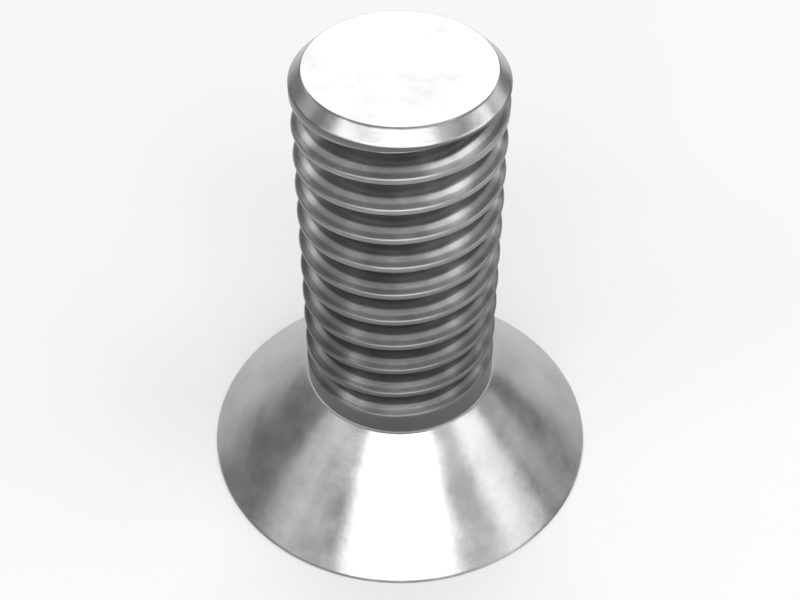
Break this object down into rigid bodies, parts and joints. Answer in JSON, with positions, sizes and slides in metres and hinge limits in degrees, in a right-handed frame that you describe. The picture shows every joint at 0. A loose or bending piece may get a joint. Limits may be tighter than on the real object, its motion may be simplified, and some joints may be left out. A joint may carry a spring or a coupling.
{
  "type": "countersunk socket screw",
  "caption": "Countersunk flat-head screw with a hexagon socket, full right-hand metric thread and chamfered tip.",
  "frame": {"origin": "centre of the flat head face, where the hexagon socket opens", "axes": "+Z along the screw's axis, from the head to the tip; +X across a corner of the hexagon"},
  "size_m": [0.0084, 0.0084, 0.01],
  "materials": {
    "stainless_steel": "polished stainless steel, cold forged and thread rolled"
  },
  "bodies": {
    "root": {"countersunk_screw": "stainless_steel"}
  },
  "joints": []
}
